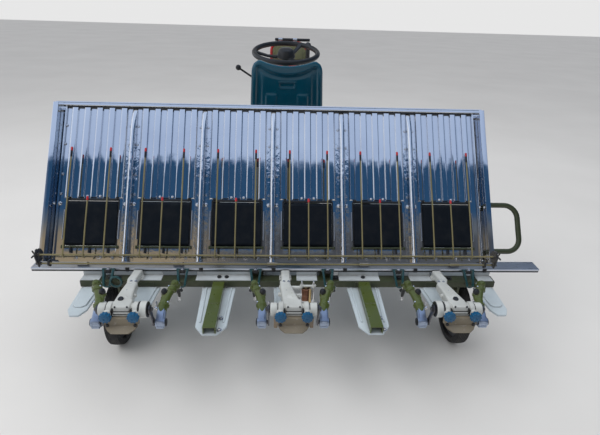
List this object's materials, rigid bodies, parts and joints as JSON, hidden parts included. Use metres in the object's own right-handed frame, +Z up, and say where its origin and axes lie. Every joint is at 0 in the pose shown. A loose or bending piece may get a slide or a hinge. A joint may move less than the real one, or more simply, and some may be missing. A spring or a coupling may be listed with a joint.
{
  "type": "rice transplanter",
  "caption": "Ride-on rice transplanter with a sliding seedling platform, crank planting arms, floats, transport wheels and a steered front drive wheel.",
  "frame": {"origin": "on the ground under the middle of the bounding box", "axes": "+X to the machine's right, +Y forward, +Z up"},
  "size_m": [2.126, 2.3992, 1.192],
  "materials": {
    "olive_paint": "gloss",
    "white_paint": "semi-gloss",
    "white_plastic": "smooth",
    "teal_paint": "gloss",
    "beige_plastic": "satin",
    "blue_plastic": "gloss",
    "black_plastic": "satin",
    "seat_plastic": "gloss",
    "stainless": "mirror-bright",
    "steel": "satin",
    "aluminium": "satin",
    "black_rubber": "matt",
    "black_tyre": "matt",
    "tan_wire": "satin",
    "copper_spring": "satin",
    "engine_paint": "satin",
    "red_paint": "gloss",
    "black_paint": "satin",
    "checker_plate": "matt"
  },
  "bodies": {
    "chassis": {"crossbeam": "olive_paint", "guide_rail": "white_paint", "seed_gates": "teal_paint", "planting_cases": "white_paint", "guard_plates": "beige_plastic", "case_knobs": "blue_plastic", "float_tails": "white_plastic", "tail_channels": "olive_paint", "floats": "white_plastic", "main_frame": "olive_paint", "seat": "seat_plastic", "footboards": "checker_plate", "work_gearbox": "aluminium", "steering_column": "olive_paint", "levers": "black_plastic", "depth_spring": "copper_spring"},
    "platform": {"platform_sheet": "stainless", "platform_dividers": "stainless", "feed_belts": "black_rubber", "belt_rollers": "olive_paint", "mat_rods": "tan_wire", "handrail": "olive_paint"},
    "crank_left": {"crank_left": "steel"},
    "crank_middle": {"crank_middle": "steel"},
    "crank_right": {"crank_right": "steel"},
    "arms_left": {"arm_bodies_left": "aluminium", "arm_housings_left": "olive_paint"},
    "arms_middle": {"arm_bodies_middle": "aluminium", "arm_housings_middle": "olive_paint"},
    "arms_right": {"arm_bodies_right": "aluminium", "arm_housings_right": "olive_paint"},
    "drive_unit": {"drive_leg": "aluminium", "engine_bed": "olive_paint", "engine": "engine_paint", "engine_hoop": "red_paint", "hoop_panel": "olive_paint", "grab_bar": "black_paint", "exhaust": "black_paint"},
    "drive_wheel": {"drive_rim": "olive_paint", "drive_lugs": "black_rubber"},
    "rear_wheel_left": {"rear_tyre_left": "black_tyre", "rear_hub_left": "steel"},
    "rear_wheel_right": {"rear_tyre_right": "black_tyre", "rear_hub_right": "steel"},
    "steering_wheel": {"steering_wheel": "black_plastic"}
  },
  "joints": [
    {"name": "rear_wheel_left_spin", "type": "hinge", "parent": "chassis", "child": "rear_wheel_left", "pos_m": [-0.753, -0.7865, 0.15], "axis": [1, 0, 0], "continuous": true},
    {"name": "rear_wheel_right_spin", "type": "hinge", "parent": "chassis", "child": "rear_wheel_right", "pos_m": [0.753, -0.7865, 0.15], "axis": [1, 0, 0], "continuous": true},
    {"name": "steering_wheel_turn", "type": "hinge", "parent": "chassis", "child": "steering_wheel", "pos_m": [-0.02, 0.4965, 1.131], "axis": [0, -0.2028, 0.9792], "range_deg": [-175, 175]},
    {"name": "drive_unit_steer", "type": "hinge", "parent": "chassis", "child": "drive_unit", "pos_m": [0, 0.8505, 0.77], "axis": [0, 0, 1], "range_deg": [-35, 35]},
    {"name": "drive_wheel_spin", "type": "hinge", "parent": "drive_unit", "child": "drive_wheel", "pos_m": [0, 0.8505, 0.35], "axis": [1, 0, 0], "continuous": true},
    {"name": "platform_slide", "type": "slide", "parent": "chassis", "child": "platform", "axis": [1, 0, 0], "range_m": [-0.049, 0.215]},
    {"name": "crank_left_turn", "type": "hinge", "parent": "chassis", "child": "crank_left", "pos_m": [-0.6, -1.1305, 0.411], "axis": [1, 0, 0], "continuous": true},
    {"name": "arms_left_swing", "type": "hinge", "parent": "crank_left", "child": "arms_left", "pos_m": [-0.6, -1.1065, 0.33468], "axis": [1, 0, 0], "continuous": true},
    {"name": "crank_middle_turn", "type": "hinge", "parent": "chassis", "child": "crank_middle", "pos_m": [0, -1.1305, 0.411], "axis": [1, 0, 0], "continuous": true},
    {"name": "arms_middle_swing", "type": "hinge", "parent": "crank_middle", "child": "arms_middle", "pos_m": [0, -1.1065, 0.33468], "axis": [1, 0, 0], "continuous": true},
    {"name": "crank_right_turn", "type": "hinge", "parent": "chassis", "child": "crank_right", "pos_m": [0.6, -1.1305, 0.411], "axis": [1, 0, 0], "continuous": true},
    {"name": "arms_right_swing", "type": "hinge", "parent": "crank_right", "child": "arms_right", "pos_m": [0.6, -1.1065, 0.33468], "axis": [1, 0, 0], "continuous": true}
  ],
  "couplings": [
    {"joint": "drive_unit_steer", "follows": "steering_wheel_turn", "ratio": 0.2},
    {"joint": "crank_middle_turn", "follows": "crank_left_turn", "ratio": 1},
    {"joint": "crank_right_turn", "follows": "crank_left_turn", "ratio": 1},
    {"joint": "arms_left_swing", "follows": "crank_left_turn", "ratio": -1},
    {"joint": "arms_middle_swing", "follows": "crank_left_turn", "ratio": -1},
    {"joint": "arms_right_swing", "follows": "crank_left_turn", "ratio": -1}
  ]
}
